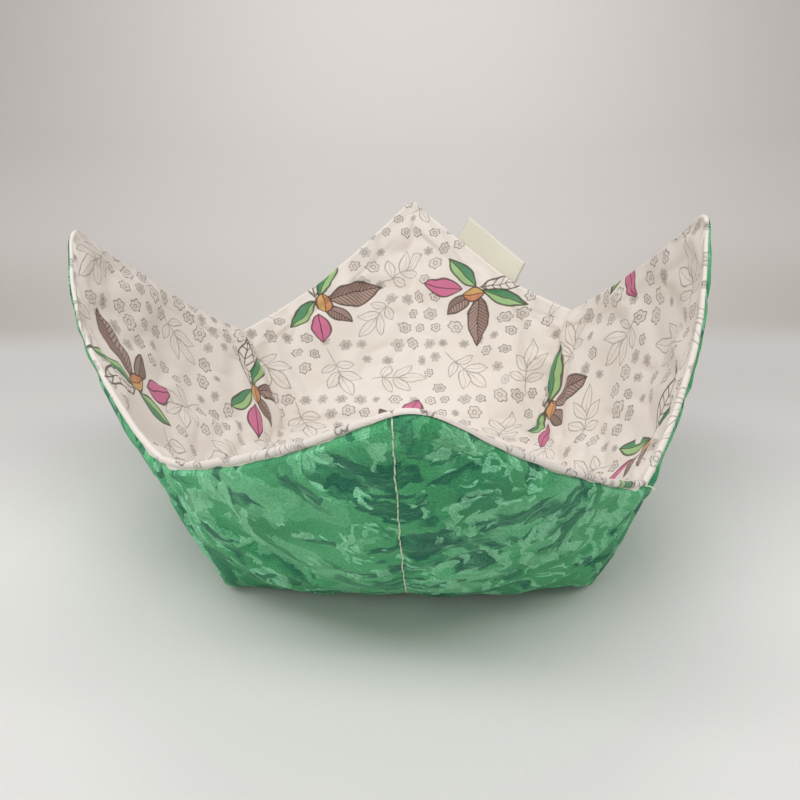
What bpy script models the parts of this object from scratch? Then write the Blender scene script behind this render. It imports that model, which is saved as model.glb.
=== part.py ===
"""A sewn bowl cozy: a square padded cloth with a dart in the middle of each side.

The darts lift the cloth into a bowl with a flat square base and four petals, one for each
corner of the cloth. The cover is outside, the lining is inside and rolls over the rim, and the
batting lies between them. Metres, +Z up, origin at the middle of the base, front petal to -Y.
"""

import math
from collections import namedtuple

import bmesh
import bpy
from mathutils import Vector

# The square cloth, as sewn
CLOTH_SIDE = 0.2413
DART_DEPTH = 0.042
DART_HALF_WIDTH = 0.0215

# The layers, from the outside in
COVER_THICKNESS = 0.0006
BATTING_THICKNESS = 0.0018
LINING_THICKNESS = 0.0006
LAYER_GAP = 0.0003

# The lining's roll over the rim reaches this far down the outside
LIP = 0.0012

# Half of the width of the rounded fold between the base and the walls
FOLD_INSET = 0.0050

# How each petal is set: its lean from upright and the turn of its arched profile in degrees,
# how far its tip sways to the left when it is seen from outside, and the bow of its rim
Petal = namedtuple("Petal", "azimuth lean curl sway bow")
FRONT = Petal(azimuth=270, lean=36.0, curl=46.0, sway=-0.0015, bow=0.004)
RIGHT = Petal(azimuth=0, lean=21.0, curl=52.0, sway=0.003, bow=0.0065)
BACK = Petal(azimuth=90, lean=42.5, curl=54.0, sway=0.002, bow=0.002)
LEFT = Petal(azimuth=180, lean=29.5, curl=33.0, sway=0.008, bow=0.0085)
PETALS = (RIGHT, BACK, LEFT, FRONT)

# How each dart seam is set, and how much longer than the others it was sewn
Dart = namedtuple("Dart", "azimuth lean sway extra")
BACK_RIGHT = Dart(azimuth=45, lean=16.0, sway=0.002, extra=0.005)
BACK_LEFT = Dart(azimuth=135, lean=28.0, sway=0.000, extra=-0.002)
FRONT_LEFT = Dart(azimuth=225, lean=17.0, sway=0.005, extra=0.0035)
FRONT_RIGHT = Dart(azimuth=315, lean=22.0, sway=0.003, extra=0.001)
DARTS = (BACK_RIGHT, BACK_LEFT, FRONT_LEFT, FRONT_RIGHT)
DART_CURL = 8.0

# The way that the rim bows: this many degrees below level
RIM_DROOP = 35.0
# The tips are rounded over this share of each side
TIP_ROUNDING = 0.15

# The label, a folded tape in the rim seam of the back petal, this far from the petal's tip
LABEL_WIDTH = 0.034
LABEL_PROJECTION = 0.010
LABEL_PLY = 0.0003
LABEL_PLY_GAP = 0.0003
LABEL_FROM_TIP = 0.046

# Faces across a petal, and rows up its wall
COLUMNS = 12
COLUMN_CROWDING = 1.25
FOLD_ROWS = 3
WALL_ROWS = 7
ROLL_STEPS = 5
LABEL_COLUMNS = 8
LABEL_FOLD_STEPS = 4
MERGE_DISTANCE = 0.00001

# Worked out from the cloth
BASE_REACH = CLOTH_SIDE / 2 - DART_DEPTH
BASE_HALF = BASE_REACH / math.sqrt(2)
PETAL_LENGTH = CLOTH_SIDE / math.sqrt(2) - BASE_HALF
SEAM_LENGTH = math.hypot(DART_DEPTH, DART_HALF_WIDTH)
RIM_LENGTH = CLOTH_SIDE / 2 - DART_HALF_WIDTH
# A column meets the rim at a slant, so a width across the rim is longer along the column
TIP_SLANT = math.sqrt(2)
DART_SLANT = SEAM_LENGTH / DART_DEPTH
BATTING_DEPTH = COVER_THICKNESS + LAYER_GAP
LINING_DEPTH = BATTING_DEPTH + BATTING_THICKNESS + LAYER_GAP
TOTAL_THICKNESS = LINING_DEPTH + LINING_THICKNESS
# The roll reaches this far past the rim row
EDGE_ROLL = TOTAL_THICKNESS / 2
UP = Vector((0, 0, 1))


def heading(azimuth):
    """The level unit vector at an azimuth in degrees."""
    angle = math.radians(azimuth)
    return Vector((math.cos(angle), math.sin(angle), 0))


def arc_over_chord(turn):
    """How much longer than its chord an arc is that turns by this many degrees."""
    half = math.radians(turn) / 2
    return half / math.sin(half)


def leaning_end(foot, azimuth, lean, sway, reach):
    """The point that lies this far from a foot, leaning out and swaying to the left."""
    tilt = math.radians(lean)
    rise = heading(azimuth) * math.sin(tilt) + UP * math.cos(tilt)
    return foot + rise * reach - heading(azimuth + 90) * sway


def tip_of(petal):
    foot = heading(petal.azimuth) * BASE_HALF
    reach = (PETAL_LENGTH - EDGE_ROLL * TIP_SLANT) / arc_over_chord(petal.curl)
    return leaning_end(foot, petal.azimuth, petal.lean, petal.sway, reach)


def dart_top(dart):
    foot = heading(dart.azimuth) * BASE_REACH
    reach = (SEAM_LENGTH + dart.extra - EDGE_ROLL * DART_SLANT) / arc_over_chord(DART_CURL)
    return leaning_end(foot, dart.azimuth, dart.lean, dart.sway, reach)


def from_middle(across):
    """How far a column is from its petal's middle, with the turn there rounded off."""
    if abs(across) > TIP_ROUNDING:
        return abs(across)
    return (across**2 + TIP_ROUNDING**2) / (2 * TIP_ROUNDING)


def rim_point(petal, before, after, across):
    """A point of the rim: across runs from -1 at the dart before to 1 at the dart after."""
    ends = dart_top(before), dart_top(after)
    cut = TIP_ROUNDING / 2
    corner = (tip_of(petal) - (ends[0] + ends[1]) / 2 * cut) / (1 - cut)
    distance = from_middle(across)
    point = corner * (1 - distance)
    point += ends[0] * (distance - across) / 2 + ends[1] * (distance + across) / 2
    side = 1 if across > 0 else 0
    along = (ends[side] - corner).normalized()
    droop = math.radians(RIM_DROOP)
    level = (heading(petal.azimuth) + heading((before, after)[side].azimuth)).normalized()
    outward = level * math.cos(droop) - UP * math.sin(droop)
    outward = (outward - along * outward.dot(along)).normalized()
    share = (distance - cut) / (1 - cut)
    return point + outward * (4 * petal.bow * share * (1 - share))


class Column:
    """One line of the cloth from the base up to the rim, an arc in an upright plane."""

    def __init__(self, petal, before, after, across):
        out = heading(petal.azimuth)
        side = heading(petal.azimuth + 90)
        self.foot = (out + side * across) * BASE_HALF
        self.inner = (out + side * across) * (BASE_HALF - FOLD_INSET)
        rim = rim_point(petal, before, after, across)
        self.turn = math.radians(DART_CURL + (petal.curl - DART_CURL) * (1 - across**2))
        chord = rim - self.foot
        level = Vector((chord.x, chord.y, 0)).normalized()
        self.along = chord.normalized()
        self.outward = level * self.along.dot(UP) - UP * self.along.dot(level)
        self.length = chord.length * arc_over_chord(math.degrees(self.turn))
        self.slant = TIP_SLANT + (DART_SLANT - TIP_SLANT) * abs(across)

    def wall(self, distance):
        """The point this far up the arc from the fold line."""
        half = self.turn / 2
        angle = half - self.turn * distance / self.length
        radius = self.length / self.turn
        forward = radius * (math.sin(half) - math.sin(angle))
        bulge = radius * (math.cos(angle) - math.cos(half))
        return self.foot + self.along * forward + self.outward * bulge

    def fold(self, share):
        """A point of the rounded fold, from the flat base at 0 to the wall at 1."""
        first = self.inner.lerp(self.foot, share)
        second = self.foot.lerp(self.wall(FOLD_INSET), share)
        return first.lerp(second, share)

    def row(self, index):
        if index <= FOLD_ROWS:
            return self.fold(index / FOLD_ROWS)
        if index <= SEAM_ROW:
            top = self.length - (LIP + LAYER_GAP) * self.slant
            share = (index - FOLD_ROWS) / WALL_ROWS
            return self.wall(FOLD_INSET + (top - FOLD_INSET) * share)
        if index == LIP_ROW:
            return self.wall(self.length - LIP * self.slant)
        return self.wall(self.length)


# The cover ends at the seam row, the lining's lip at the lip row, and the rim row is the last
SEAM_ROW = FOLD_ROWS + WALL_ROWS
LIP_ROW = SEAM_ROW + 1
RIM_ROW = LIP_ROW + 1


def column_place(index):
    """Where a column lies across its petal, -1 to 1, closer together near the tip."""
    place = 2 * index / COLUMNS - 1
    return math.copysign(abs(place) ** COLUMN_CROWDING, place)


def add_grid(bm, columns, rows, place):
    """A grid whose vertices are moved to place(column, row)."""
    made = bmesh.ops.create_grid(bm, x_segments=columns, y_segments=rows, size=1)
    for vert in made["verts"]:
        column = round((vert.co.x + 1) / 2 * columns)
        row = round((vert.co.y + 1) / 2 * rows)
        vert.co = place(column, row)
        vert[bm.verts.layers.int["row"]] = row


def outer_face():
    """The whole cloth's outer face as one open sheet, with each vertex's row up its petal."""
    bm = bmesh.new()
    bm.verts.layers.int.new("row")
    half = BASE_HALF - FOLD_INSET
    places = [column_place(i) for i in range(COLUMNS + 1)]
    add_grid(bm, COLUMNS, COLUMNS, lambda i, j: Vector((places[i], places[j], 0)) * half)
    for vert in bm.verts:
        vert[bm.verts.layers.int["row"]] = 0
    for number, petal in enumerate(PETALS):
        before, after = DARTS[number - 1], DARTS[number]
        columns = [Column(petal, before, after, across) for across in places]
        add_grid(bm, COLUMNS, RIM_ROW, lambda i, j: columns[i].row(j))
    bmesh.ops.remove_doubles(bm, verts=bm.verts, dist=MERGE_DISTANCE)
    bmesh.ops.recalc_face_normals(bm, faces=bm.faces)
    middle = min(bm.faces, key=lambda face: face.calc_center_median().length)
    if middle.normal.z > 0:
        bmesh.ops.reverse_faces(bm, faces=bm.faces)
    bm.normal_update()
    return bm


def sink(bm, depth):
    """Moves a sheet this far into the padding."""
    moves = [vert.normal * depth for vert in bm.verts]
    for vert, move in zip(bm.verts, moves):
        vert.co -= move


RimFrame = namedtuple("RimFrame", "place inward upward lip")


def rim_frames(bm):
    """For each rim vertex: its place, the ways in and up, and where the lip ends below it."""
    frames = {}
    for vert in bm.verts:
        rim_edges = [edge for edge in vert.link_edges if edge.is_boundary]
        if not rim_edges:
            continue
        ends = [edge.other_vert(vert).co for edge in rim_edges]
        tangent = (ends[0] - ends[1]).normalized()
        upward = tangent.cross(vert.normal).normalized()
        if upward.z < 0:
            upward = -upward
        below = next(edge.other_vert(vert) for edge in vert.link_edges if not edge.is_boundary)
        lip = below.co - below.normal * LINING_THICKNESS
        frames[vert] = RimFrame(vert.co.copy(), -vert.normal.copy(), upward, lip)
    return frames


def roll_over_rim(bm, frames):
    """Extrudes the lining's edge over the rim and down the outside to the seam."""
    radius = EDGE_ROLL - LINING_THICKNESS
    edges = [edge for edge in bm.edges if edge.is_boundary]
    for step in range(1, ROLL_STEPS + 2):
        angle = math.pi * step / ROLL_STEPS
        depth = EDGE_ROLL + radius * math.cos(angle)
        height = radius * math.sin(angle)
        made = bmesh.ops.extrude_edge_only(bm, edges=edges)["geom"]
        new_verts = [item for item in made if isinstance(item, bmesh.types.BMVert)]
        moved = {}
        for vert in new_verts:
            old = next(
                edge.other_vert(vert) for edge in vert.link_edges
                if edge.other_vert(vert) in frames
            )
            frame = frames[old]
            vert.co = frame.place + frame.inward * depth + frame.upward * height
            if step > ROLL_STEPS:
                vert.co = frame.lip
            moved[vert] = frame
        edges = [item for item in made if isinstance(item, bmesh.types.BMEdge)]
        frames = moved


def fabric(name, colour, roughness):
    material = bpy.data.materials.new(name)
    material.use_nodes = True
    shader = material.node_tree.nodes["Principled BSDF"]
    shader.inputs["Base Color"].default_value = (*colour, 1)
    shader.inputs["Roughness"].default_value = roughness
    shader.inputs["Metallic"].default_value = 0
    material.diffuse_color = (*colour, 1)
    return material


def add_layer(collection, name, bm, thickness, offset, material):
    """An object made of a sheet that Solidify thickens: inwards at -1, outwards at 1."""
    mesh = bpy.data.meshes.new(name)
    bm.to_mesh(mesh)
    bm.free()
    mesh.shade_smooth()
    mesh.materials.append(material)
    piece = bpy.data.objects.new(name, mesh)
    collection.objects.link(piece)
    shell = piece.modifiers.new("thickness", "SOLIDIFY")
    shell.thickness = thickness
    shell.offset = offset
    shell.use_even_offset = False


def add_cover(collection):
    bm = outer_face()
    layer = bm.verts.layers.int["row"]
    above = [vert for vert in bm.verts if vert[layer] > SEAM_ROW]
    bmesh.ops.delete(bm, geom=above, context="VERTS")
    material = fabric("cover_cotton", (0.09, 0.30, 0.15), 0.85)
    add_layer(collection, "outer_cover", bm, COVER_THICKNESS, -1, material)


def add_batting(collection):
    bm = outer_face()
    sink(bm, BATTING_DEPTH)
    material = fabric("batting_cotton", (0.85, 0.83, 0.76), 0.95)
    add_layer(collection, "batting", bm, BATTING_THICKNESS, -1, material)


def add_lining(collection):
    bm = outer_face()
    frames = rim_frames(bm)
    sink(bm, LINING_DEPTH)
    roll_over_rim(bm, frames)
    bmesh.ops.reverse_faces(bm, faces=bm.faces)
    bm.normal_update()
    material = fabric("lining_cotton", (0.72, 0.66, 0.60), 0.85)
    add_layer(collection, "inner_lining", bm, LINING_THICKNESS, 1, material)


def label_section():
    """The folded tape's section: its depth outside the rim and its height, up, over and down."""
    near = LAYER_GAP + LABEL_PLY / 2
    radius = (LABEL_PLY + LABEL_PLY_GAP) / 2
    top = EDGE_ROLL + LABEL_PROJECTION - radius
    section = [(near, -LIP), (near, (top - LIP) / 2)]
    for step in range(LABEL_FOLD_STEPS + 1):
        angle = math.pi * step / LABEL_FOLD_STEPS
        section.append((near + radius - radius * math.cos(angle), top + radius * math.sin(angle)))
    far = near + 2 * radius
    section += [(far, (top - LIP) / 2), (far, -LIP)]
    return section


def add_label(collection):
    """The folded tape stands in the seam outside the rim, on the right of the back petal."""
    frames = []
    for index in range(LABEL_COLUMNS + 1):
        distance = LABEL_FROM_TIP + LABEL_WIDTH * (index / LABEL_COLUMNS - 0.5)
        column = Column(BACK, BACK_RIGHT, BACK_LEFT, -distance / RIM_LENGTH)
        further = Column(BACK, BACK_RIGHT, BACK_LEFT, -(distance + LIP) / RIM_LENGTH)
        place = column.wall(column.length)
        tangent = (further.wall(further.length) - place).normalized()
        rise = place - column.wall(column.length - LIP)
        outward = rise.cross(tangent).normalized()
        upward = tangent.cross(outward).normalized()
        frames.append((place, outward, upward))
    section = label_section()

    def place_of(column, row):
        place, outward, upward = frames[column]
        return place + outward * section[row][0] + upward * section[row][1]

    bm = bmesh.new()
    bm.verts.layers.int.new("row")
    add_grid(bm, LABEL_COLUMNS, len(section) - 1, place_of)
    bm.normal_update()
    material = fabric("label_tape", (0.77, 0.73, 0.60), 0.7)
    add_layer(collection, "label_tab", bm, LABEL_PLY, 0, material)


def main():
    for old in list(bpy.data.objects):
        bpy.data.objects.remove(old)
    collection = bpy.data.collections.new("bowl_cozy")
    bpy.context.scene.collection.children.link(collection)
    add_cover(collection)
    add_batting(collection)
    add_lining(collection)
    add_label(collection)


main()
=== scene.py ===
"""The looks of a sewn bowl cozy: leaf-mottled green cotton outside, printed cream cotton inside.

The cloth is laid out as it was cut, a square with a dart in the middle of each side, and every
point keeps its place on the flat cloth in a UV map, so that print and weave follow the cloth and
break at the darts. Metres, in the frame's own axes.
"""

import math
from collections import namedtuple

import bmesh
import bpy
from mathutils import Matrix, Vector, noise
from mathutils.bvhtree import BVHTree
from mathutils.interpolate import poly_3d_calc


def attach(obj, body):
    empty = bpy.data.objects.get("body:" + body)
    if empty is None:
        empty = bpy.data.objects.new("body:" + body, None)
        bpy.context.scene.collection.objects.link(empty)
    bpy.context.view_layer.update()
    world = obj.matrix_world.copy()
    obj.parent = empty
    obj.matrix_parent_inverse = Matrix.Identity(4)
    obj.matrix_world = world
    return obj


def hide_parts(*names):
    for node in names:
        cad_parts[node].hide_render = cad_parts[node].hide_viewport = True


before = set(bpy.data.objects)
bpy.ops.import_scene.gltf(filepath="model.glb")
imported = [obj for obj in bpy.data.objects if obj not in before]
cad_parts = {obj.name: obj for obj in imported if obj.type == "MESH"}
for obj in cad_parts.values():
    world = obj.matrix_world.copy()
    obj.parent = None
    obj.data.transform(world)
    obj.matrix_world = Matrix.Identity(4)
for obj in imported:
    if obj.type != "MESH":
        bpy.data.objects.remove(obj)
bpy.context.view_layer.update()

# The square cloth, as sewn, and how thick its layers are
CLOTH_SIDE = 0.2413
DART_DEPTH = 0.042
DART_HALF_WIDTH = 0.0215
LAYER_GAP = 0.0003
COVER_THICKNESS = 0.0006
BATTING_THICKNESS = 0.0018
LINING_THICKNESS = 0.0006
BATTING_DEPTH = COVER_THICKNESS + LAYER_GAP
LINING_DEPTH = BATTING_DEPTH + BATTING_THICKNESS + LAYER_GAP
FOLD_INSET = 0.0050

# Sewing presses the padding thin at the rim. The lining runs over the edge and down to the seam.
EDGE_THICKNESS = 0.0020
EDGE_ROLL = EDGE_THICKNESS / 2
ROLL_LENGTH = math.pi * EDGE_ROLL
PRESSED_WIDTH = 0.010
SEAM_DROP = 0.0006
SEAM_GAP = 0.00045
TURNED_EDGE = 0.0022

# How deep each cotton dips in at the seam
COVER_TUCK = 0.00090
LINING_TUCK = 0.00018

# How each petal and dart is set, as in the frame. Bows are how far the two sides of a petal's rim
# curve outwards, before its tip and after it, and sags how far they hang down. Lift is how far a
# dart's top is drawn up, which rounds the rim there, and fades out over a share of each side.
Petal = namedtuple("Petal", "azimuth lean curl sway bows sags rounding")
FRONT = Petal(270, 36.0, 46.0, -0.0015, (0.004, 0.004), (0, 0), 0.14)
RIGHT = Petal(0, 21.0, 52.0, 0.003, (0.0052, 0.0025), (0, 0), 0.08)
BACK = Petal(90, 42.5, 54.0, 0.002, (0.002, 0.002), (0.0048, 0.0036), 0.05)
LEFT = Petal(180, 29.5, 33.0, 0.008, (0.0030, 0.0085), (0, 0), 0.08)
PETALS = (RIGHT, BACK, LEFT, FRONT)
Dart = namedtuple("Dart", "azimuth lean sway extra lift")
BACK_RIGHT = Dart(azimuth=45, lean=16.0, sway=0.002, extra=0.005, lift=0)
BACK_LEFT = Dart(azimuth=135, lean=28.0, sway=0.000, extra=-0.002, lift=0.0006)
FRONT_LEFT = Dart(azimuth=225, lean=17.0, sway=0.005, extra=0.0035, lift=0.0018)
FRONT_RIGHT = Dart(azimuth=315, lean=22.0, sway=0.003, extra=0.001, lift=0.0008)
DARTS = (BACK_RIGHT, BACK_LEFT, FRONT_LEFT, FRONT_RIGHT)
DART_CURL = 8.0
DART_LIFT_FADE = 0.09
RIM_DROOP = 35.0

# How finely the cloth is divided: faces across a petal, rows round the fold and up the wall
COLUMNS = 92
FOLD_ROWS = 8
WALL_ROWS = 66
LINING_ROLL_STEPS = 14
COVER_ROLL_STEPS = 7
MERGE_DISTANCE = 0.00001

# Without a seed, noise_vector gives other values at each start of Blender
WANDER_SEED = 105

BASE_REACH = CLOTH_SIDE / 2 - DART_DEPTH
BASE_HALF = BASE_REACH / math.sqrt(2)
PETAL_LENGTH = CLOTH_SIDE / math.sqrt(2) - BASE_HALF
SEAM_LENGTH = math.hypot(DART_DEPTH, DART_HALF_WIDTH)
RIM_LENGTH = CLOTH_SIDE / 2 - DART_HALF_WIDTH
TIP_SLANT = math.sqrt(2)
DART_SLANT = SEAM_LENGTH / DART_DEPTH
UP = Vector((0, 0, 1))
WALL_TOP_ROW = FOLD_ROWS + WALL_ROWS
RIM_ROW = WALL_TOP_ROW + 1


def heading(azimuth):
    """The level unit vector at an azimuth in degrees."""
    angle = math.radians(azimuth)
    return Vector((math.cos(angle), math.sin(angle), 0))


def hump(value, width):
    """1 where the value is 0, and soon nothing past the width."""
    return math.exp(-((value / width) ** 2))


def arc_over_chord(turn):
    """How much longer an arc that turns by these degrees is than its chord."""
    half = math.radians(turn) / 2
    return half / math.sin(half)


def leaning_end(foot, azimuth, lean, sway, reach):
    """The end of a straight line that leans out from a foot and sways to one side."""
    tilt = math.radians(lean)
    rise = heading(azimuth) * math.sin(tilt) + UP * math.cos(tilt)
    return foot + rise * reach - heading(azimuth + 90) * sway


def tip_of(petal):
    foot = heading(petal.azimuth) * BASE_HALF
    reach = (PETAL_LENGTH - EDGE_ROLL * TIP_SLANT) / arc_over_chord(petal.curl)
    return leaning_end(foot, petal.azimuth, petal.lean, petal.sway, reach)


def dart_top(dart):
    foot = heading(dart.azimuth) * BASE_REACH
    reach = (SEAM_LENGTH + dart.extra - EDGE_ROLL * DART_SLANT) / arc_over_chord(DART_CURL)
    return leaning_end(foot, dart.azimuth, dart.lean, dart.sway, reach)


def from_middle(across, rounding):
    """How far across is from the middle, with the sharp turn there rounded off."""
    if abs(across) > rounding:
        return abs(across)
    return (across**2 + rounding**2) / (2 * rounding)


def rim_point(petal, before, after, across):
    """A point of the rim: across runs from -1 at the dart before to 1 at the dart after."""
    ends = dart_top(before), dart_top(after)
    cut = petal.rounding / 2
    corner = (tip_of(petal) - (ends[0] + ends[1]) / 2 * cut) / (1 - cut)
    distance = from_middle(across, petal.rounding)
    point = corner * (1 - distance)
    point += ends[0] * (distance - across) / 2 + ends[1] * (distance + across) / 2
    side = 1 if across > 0 else 0
    along = (ends[side] - corner).normalized()
    droop = math.radians(RIM_DROOP)
    level = (heading(petal.azimuth) + heading((before, after)[side].azimuth)).normalized()
    outward = level * math.cos(droop) - UP * math.sin(droop)
    outward = (outward - along * outward.dot(along)).normalized()
    share = (distance - cut) / (1 - cut)
    middle = 4 * share * (1 - share)
    point += outward * (petal.bows[side] * middle) - UP * (petal.sags[side] * middle)
    return point + UP * (before, after)[side].lift * hump(1 - share, DART_LIFT_FADE)


class Column:
    """One line of the cloth from the base up to the rim, an arc in an upright plane."""

    def __init__(self, petal, before, after, across):
        self.petal = petal
        self.across = across
        self.out = heading(petal.azimuth)
        self.side = heading(petal.azimuth + 90)
        self.foot = (self.out + self.side * across) * BASE_HALF
        self.inner = (self.out + self.side * across) * (BASE_HALF - FOLD_INSET)
        rim = rim_point(petal, before, after, across)
        self.turn = math.radians(DART_CURL + (petal.curl - DART_CURL) * (1 - across**2))
        chord = rim - self.foot
        level = Vector((chord.x, chord.y, 0)).normalized()
        self.along = chord.normalized()
        self.outward = level * self.along.dot(UP) - UP * self.along.dot(level)
        self.length = chord.length * arc_over_chord(math.degrees(self.turn))
        self.slant = TIP_SLANT + (DART_SLANT - TIP_SLANT) * abs(across)

    def wall(self, distance):
        """The plain place at a distance up from the fold line."""
        half = self.turn / 2
        angle = half - self.turn * distance / self.length
        radius = self.length / self.turn
        forward = radius * (math.sin(half) - math.sin(angle))
        bulge = radius * (math.cos(angle) - math.cos(half))
        return self.foot + self.along * forward + self.outward * bulge

    def fold(self, share):
        """The place at a share of the rounded fold between base and wall."""
        first = self.inner.lerp(self.foot, share)
        second = self.foot.lerp(self.wall(FOLD_INSET), share)
        return first.lerp(second, share)

    def flat(self, distance):
        """The same point's side and outward places on the flat cloth."""
        share = max(distance, 0) / self.length
        rim_side = self.across * RIM_LENGTH / math.sqrt(2)
        from_tip = from_middle(self.across, self.petal.rounding)
        rim_out = (CLOTH_SIDE - from_tip * RIM_LENGTH) / math.sqrt(2)
        side = self.across * BASE_HALF * (1 - share) + rim_side * share
        out = BASE_HALF * (1 - share) + rim_out * share
        if distance < 0:
            side *= 1 + distance / BASE_HALF
            out += distance
        return side, out

    def row(self, index):
        """The point at a row up the petal, and its distance from the fold line."""
        if index <= FOLD_ROWS:
            share = index / FOLD_ROWS
            return self.fold(share), (2 * share - 1) * FOLD_INSET
        distance = self.length
        if index <= WALL_TOP_ROW:
            top = self.length - TURNED_EDGE * self.slant
            distance = FOLD_INSET + (top - FOLD_INSET) * (index - FOLD_ROWS) / WALL_ROWS
        return self.wall(distance), distance


def petal_columns(petal, places):
    number = PETALS.index(petal)
    return [Column(petal, DARTS[number - 1], DARTS[number], across) for across in places]


def smooth(value, low, high):
    """From 0 at low to 1 at high, with soft ends; high may be the lower of the two."""
    share = min(max((value - low) / (high - low), 0), 1)
    return share * share * (3 - 2 * share)


# The relief of the cloth. A spot tells how a place lies on its petal, which is None on the base:
# how far it is to the side, up from the fold line, and from the rim, a dart and the quilting.
Spot = namedtuple("Spot", "petal side up rim dart quilting place")

# How far the quilting has strayed to the side at each tip
QUILTING_SWAY = {FRONT: -0.0036, RIGHT: 0.0008, BACK: 0.0010, LEFT: -0.0010}

# How far the padding fills out the cover, and how far from each kind of seam it does so in full
COVER_FULLNESS = {FRONT: 0.0007, RIGHT: -0.0012, BACK: 0.0007, LEFT: -0.0004, None: 0.0007}
FULL_FROM_QUILTING = 0.011
FULL_FROM_RIM = 0.010
FULL_FROM_DART = 0.012
BASE_FLATTENING = 0.0010

# How far from a seam, or over which distances from it, each relief comes in
WAVES_FROM_RIM = 0.008
WAVES_FROM_DART = 0.014
RIPPLES_FROM_DART = 0.010
DART_PUCKERS_FROM_SEAM = 0.001
CREASES_FROM_RIM = 0.004
COVER_FROM_BASE = 0.009
LINING_FROM_BASE = (0.001, 0.008)
LINING_FROM_RIM = (0.0004, 0.004)
WANDER_FROM_FLOOR = (0.004, 0.030)

# A ridge, or a groove where its height is below 0, along a seam
Ridge = namedtuple("Ridge", "height from_seam width")
QUILTING_GROOVE = Ridge(-0.0006, 0, 0.0014)
COVER_DART_GROOVE = Ridge(-0.00090, 0, 0.0011)
COVER_DART_RIDGE = Ridge(0.00060, 0.0045, 0.0025)
LINING_DART_GROOVE = Ridge(-0.0012, 0, 0.0011)
STITCH_PUCKER_HEIGHT = 0.00020
STITCH_PUCKER_PITCH = 0.0028
STITCH_PUCKER_WIDTH = 0.0035

# Seam allowances lift the cloth over them. Each pair of distances is where that starts or ends.
COVER_ALLOWANCE_LIFT = 0.00055
COVER_ALLOWANCE_END = (0.0080, 0.0070)
COVER_ALLOWANCE_START = (0.0004, 0.0016)
LINING_ALLOWANCE_LIFT = 0.00045
LINING_ALLOWANCE_END = (0.0076, 0.0062)
PLEAT_LIFT = 0.0011
PLEAT_END = (0.0078, 0.0062)

# Smooth random unevenness. Its size is about that from bump to bump, and its reach is how far it
# goes from the seam that it lies along.
Rumple = namedtuple("Rumple", "height size seed reach", defaults=(None,))
BASE_DIMPLES = Rumple(0.0003, 0.016, 3)
COVER_WAVES = Rumple(0.00070, 0.022, 1)
TAUT_COVER_WAVES = Rumple(0.00030, 0.022, 1)
COVER_RIPPLES = Rumple(0.00040, 0.009, 5)
SEAM_PUCKERS = Rumple(0.00022, 0.0022, 11, 0.0035)
ALLOWANCE_UNEVENNESS = Rumple(0.5, 0.012, 13)
DART_PUCKERS = Rumple(0.00030, 0.0035, 17, 0.005)
LINING_WAVES = Rumple(0.0007, 0.030, 23)
LINING_RIPPLES = Rumple(0.0003, 0.010, 29)
RIM_PUCKERS = Rumple(0.00018, 0.0026, 31, 0.007)
PLEAT_PUCKERS = Rumple(0.00045, 0.0060, 37, 0.010)
RUCKS = Rumple(0.0009, 0.0070, 41, 0.022)
FINE_RUCKS = Rumple(0.0003, 0.0042, 43)
SHAPE_WANDER = Rumple(0.0011, 0.034, Vector((7, 1, 4)))
RIM_WANDER = Rumple(0.00028, 0.009, Vector((2, 9, 5)), 0.012)

# A crease runs between two places on a petal, each a side and a distance up from the fold line
Crease = namedtuple("Crease", "petal start end width height")
COVER_CREASE_STRENGTH = 1.3
LINING_STRENGTH = 1.3
LINING_BASE_SHARE = 0.6
COVER_CREASES = (
    Crease(FRONT, (-0.060, 0.036), (-0.030, 0.012), 0.0045, 0.0013),
    Crease(FRONT, (-0.056, 0.040), (-0.010, 0.020), 0.0040, 0.0011),
    Crease(FRONT, (-0.046, 0.031), (-0.004, 0.016), 0.0016, -0.0007),
    Crease(FRONT, (-0.034, 0.018), (-0.017, 0.001), 0.0009, 0.0009),
    Crease(FRONT, (-0.030, 0.019), (-0.014, 0.002), 0.0009, 0.0007),
    Crease(FRONT, (-0.060, 0.022), (-0.040, 0.004), 0.0030, -0.0009),
    Crease(FRONT, (-0.004, 0.018), (0.022, 0.013), 0.0014, -0.0006),
    Crease(FRONT, (0.062, 0.036), (0.022, 0.010), 0.0050, 0.0012),
    Crease(FRONT, (0.060, 0.028), (0.030, 0.004), 0.0030, -0.0008),
    Crease(FRONT, (0.048, 0.040), (0.010, 0.026), 0.0035, 0.0008),
    Crease(FRONT, (0.030, 0.052), (0.012, 0.060), 0.0030, -0.0006),
    Crease(RIGHT, (-0.058, 0.036), (-0.020, 0.010), 0.0045, 0.0003),
    Crease(RIGHT, (0.056, 0.038), (0.014, 0.016), 0.0040, 0.0011),
    Crease(RIGHT, (0.036, 0.020), (0.018, 0.003), 0.0012, 0.0008),
    Crease(BACK, (-0.058, 0.036), (-0.014, 0.014), 0.0045, 0.0012),
    Crease(BACK, (0.058, 0.034), (0.024, 0.008), 0.0040, 0.0010),
    Crease(BACK, (-0.030, 0.022), (-0.012, 0.004), 0.0012, -0.0007),
    Crease(LEFT, (-0.056, 0.038), (-0.020, 0.012), 0.0045, 0.0012),
    Crease(LEFT, (0.060, 0.036), (0.020, 0.018), 0.0040, 0.0005),
    Crease(LEFT, (0.042, 0.026), (0.026, 0.004), 0.0014, 0.0008),
)
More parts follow.
